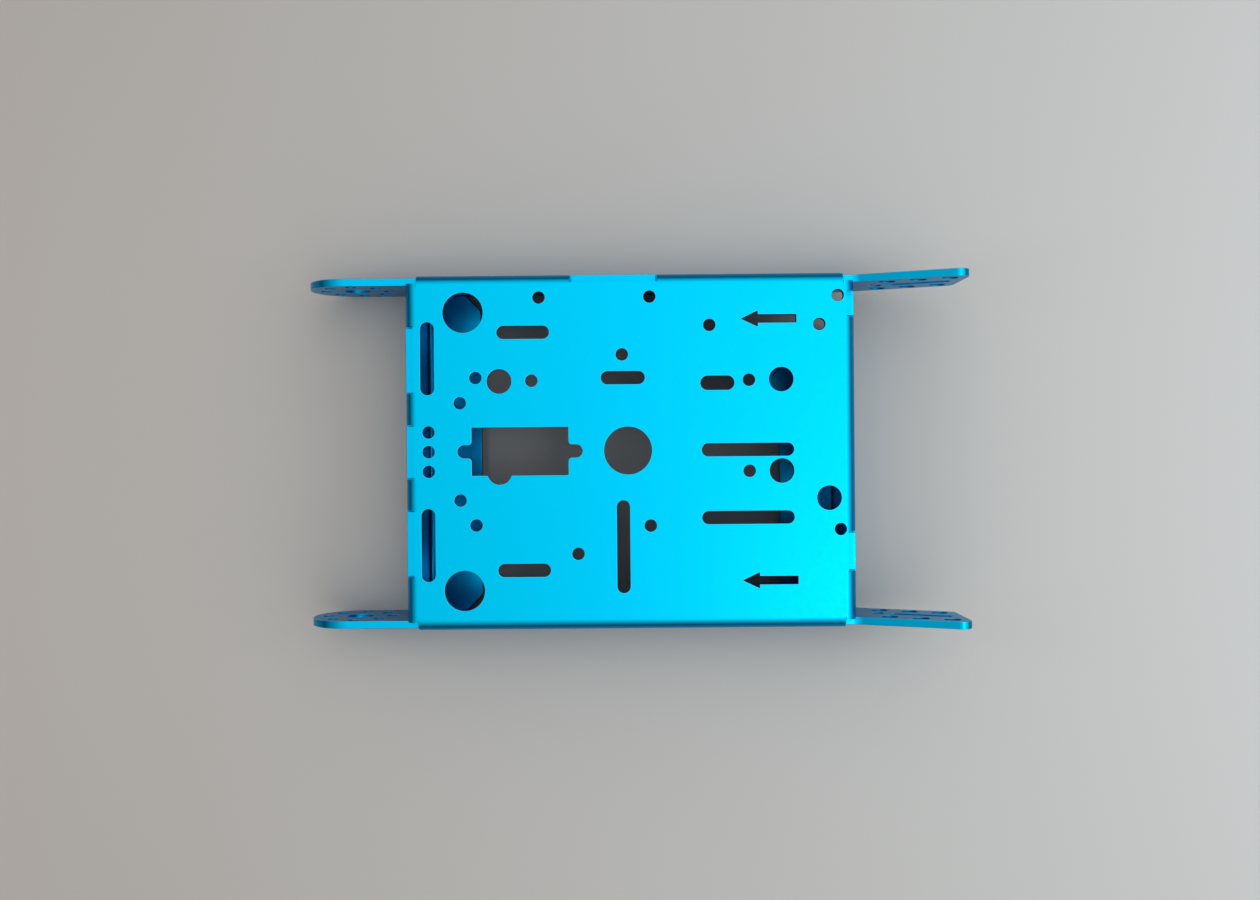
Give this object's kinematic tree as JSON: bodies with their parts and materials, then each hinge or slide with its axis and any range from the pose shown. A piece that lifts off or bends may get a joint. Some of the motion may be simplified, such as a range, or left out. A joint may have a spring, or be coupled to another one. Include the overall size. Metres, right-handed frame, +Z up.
{
  "type": "robot chassis frame",
  "caption": "Sheet-metal chassis frame of a small robot: a drilled and slotted deck with folded walls, rounded front motor arms and rising rear axle arms.",
  "frame": {"origin": "under the middle of the deck, on the surface that the chassis stands on", "axes": "-X is the front, where the arrows in the deck point, +Y is the robot's right and +Z is up"},
  "size_m": [0.1702, 0.0904, 0.0333],
  "materials": {
    "anodised_sheet": "fine bead-blasted, anodised blue, satin"
  },
  "bodies": {
    "root": {"top_deck": "anodised_sheet", "left_side_wall": "anodised_sheet", "right_side_wall": "anodised_sheet", "front_wall": "anodised_sheet", "rear_wall": "anodised_sheet", "front_bottom_flange": "anodised_sheet", "rear_bottom_flange": "anodised_sheet", "front_left_arm": "anodised_sheet", "front_right_arm": "anodised_sheet", "rear_left_arm": "anodised_sheet", "rear_right_arm": "anodised_sheet"}
  },
  "joints": []
}
